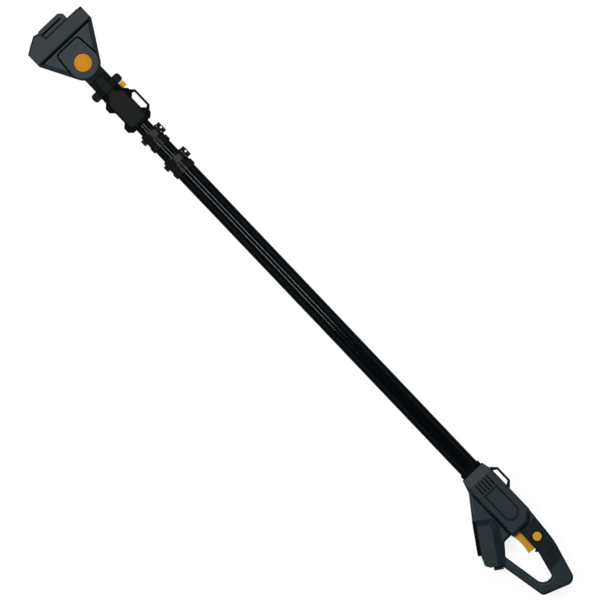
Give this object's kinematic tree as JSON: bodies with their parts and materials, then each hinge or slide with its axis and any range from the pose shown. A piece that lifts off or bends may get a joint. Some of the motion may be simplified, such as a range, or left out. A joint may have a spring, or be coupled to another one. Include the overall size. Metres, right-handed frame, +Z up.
{
  "type": "telescoping pole for a cordless pruning saw",
  "caption": "Telescoping pole with a tilting slide-on tool head, flip-lock tubes, a D-handle with trigger and a battery dock, lying on its side.",
  "frame": {"origin": "middle of the box, on the surface that the pole lies on", "axes": "+X from the tool head to the handle, +Y towards the tool's top side, +Z up from the surface it lies on"},
  "size_m": [1.3801, 0.1672, 0.076],
  "materials": {
    "slate_plastic": "fine satin texture",
    "black_plastic": "fine satin texture",
    "grey_plastic": "satin",
    "clamp_plastic": "semi gloss",
    "yellow_plastic": "satin",
    "inner_plastic": "satin",
    "black_tube": "gloss black anodised",
    "grip_rubber": "soft matte",
    "steel": "zinc plated",
    "contact_brass": "plain",
    "circuit_board": "gloss"
  },
  "bodies": {
    "handle": {"outer_tube": "black_tube", "rear_clamp_collar": "clamp_plastic", "rear_clamp_hinge_pin": "steel", "rear_clamp_bolt": "steel", "mouth_collar": "black_plastic", "handle_shell_near": "slate_plastic", "handle_shell_far": "slate_plastic", "handle_screws": "steel", "grip_sleeve": "grip_rubber", "rear_strap_eye": "black_plastic", "trigger_pin": "steel", "trigger_switch": "inner_plastic", "control_board": "circuit_board", "lock_off_ring": "black_plastic", "lock_off_spring": "steel", "dock_housing": "slate_plastic", "dock_rails": "black_plastic", "dock_terminal": "inner_plastic", "dock_contacts": "contact_brass"},
    "middle_mast": {"middle_tube": "black_tube", "middle_tube_bush": "black_plastic", "front_clamp_collar": "clamp_plastic", "front_clamp_hinge_pin": "steel", "front_clamp_bolt": "steel"},
    "inner_mast": {"inner_tube": "black_tube", "inner_tube_bush": "black_plastic", "coupler_shell_near": "black_plastic", "coupler_shell_far": "black_plastic", "coupler_screws": "steel", "coupler_cover_near": "grey_plastic", "coupler_cover_far": "grey_plastic", "front_strap_eye": "black_plastic", "coupler_socket": "inner_plastic"},
    "neck": {"neck": "black_plastic", "spigot_plug": "inner_plastic", "spigot_pins": "contact_brass"},
    "head": {"head_shell_near": "slate_plastic", "head_shell_far": "slate_plastic", "head_screws": "steel", "tool_rail": "slate_plastic", "tool_contacts": "contact_brass", "pivot_pin": "steel", "pivot_nut": "steel", "pivot_washers": "steel", "pivot_spring": "steel"},
    "pivot_button": {"pivot_button": "yellow_plastic"},
    "head_latch": {"head_latch": "inner_plastic"},
    "twist_collar": {"twist_collar": "black_plastic"},
    "release_button": {"release_button": "yellow_plastic"},
    "front_clamp_lever": {"front_clamp_lever": "clamp_plastic"},
    "rear_clamp_lever": {"rear_clamp_lever": "clamp_plastic"},
    "trigger": {"trigger": "yellow_plastic"},
    "lock_off_button": {"lock_off_button": "yellow_plastic"}
  },
  "joints": [
    {"name": "middle_tube_slide", "type": "slide", "parent": "handle", "child": "middle_mast", "axis": [-1, 0, 0], "range_m": [0, 0.6]},
    {"name": "inner_tube_slide", "type": "slide", "parent": "middle_mast", "child": "inner_mast", "axis": [-1, 0, 0], "range_m": [0, 0.6]},
    {"name": "neck_pull", "type": "slide", "parent": "inner_mast", "child": "neck", "axis": [-1, 0, 0], "range_m": [0, 0.075]},
    {"name": "head_tilt", "type": "hinge", "parent": "neck", "child": "head", "pos_m": [-0.594, 0.01663, 0.038], "axis": [0, 0, 1], "range_deg": [-45, 45]},
    {"name": "pivot_button_press", "type": "slide", "parent": "head", "child": "pivot_button", "axis": [0, 0, -1], "range_m": [0, 0.003], "stiffness_N_per_m": 1500, "springref_m": -0.001, "deforming": ["pivot_spring"]},
    {"name": "head_latch_press", "type": "slide", "parent": "head", "child": "head_latch", "axis": [0.8575, 0.5145, 0], "range_m": [0, 0.003], "stiffness_N_per_m": 1200, "springref_m": -0.001},
    {"name": "collar_twist", "type": "hinge", "parent": "inner_mast", "child": "twist_collar", "pos_m": [-0.524, 0.01663, 0.038], "axis": [1, 0, 0], "range_deg": [0, 60]},
    {"name": "release_button_press", "type": "slide", "parent": "inner_mast", "child": "release_button", "axis": [0, -1, 0], "range_m": [0, 0.003], "stiffness_N_per_m": 1200, "springref_m": -0.001},
    {"name": "front_clamp_flip", "type": "hinge", "parent": "middle_mast", "child": "front_clamp_lever", "pos_m": [-0.424, 0.03357, 0.05124], "axis": [-1, 0, 0], "range_deg": [0, 110]},
    {"name": "rear_clamp_flip", "type": "hinge", "parent": "handle", "child": "rear_clamp_lever", "pos_m": [-0.362, 0.03554, 0.05278], "axis": [-1, 0, 0], "range_deg": [0, 110]},
    {"name": "trigger_pull", "type": "hinge", "parent": "handle", "child": "trigger", "pos_m": [0.552, 0.00863, 0.038], "axis": [0, 0, 1], "range_deg": [0, 8], "stiffness_Nm_per_rad": 1.2, "springref_deg": -8.59},
    {"name": "lock_off_press", "type": "slide", "parent": "handle", "child": "lock_off_button", "axis": [0, 0, -1], "range_m": [0, 0.0035], "stiffness_N_per_m": 900, "springref_m": -0.001, "deforming": ["lock_off_spring"]}
  ]
}
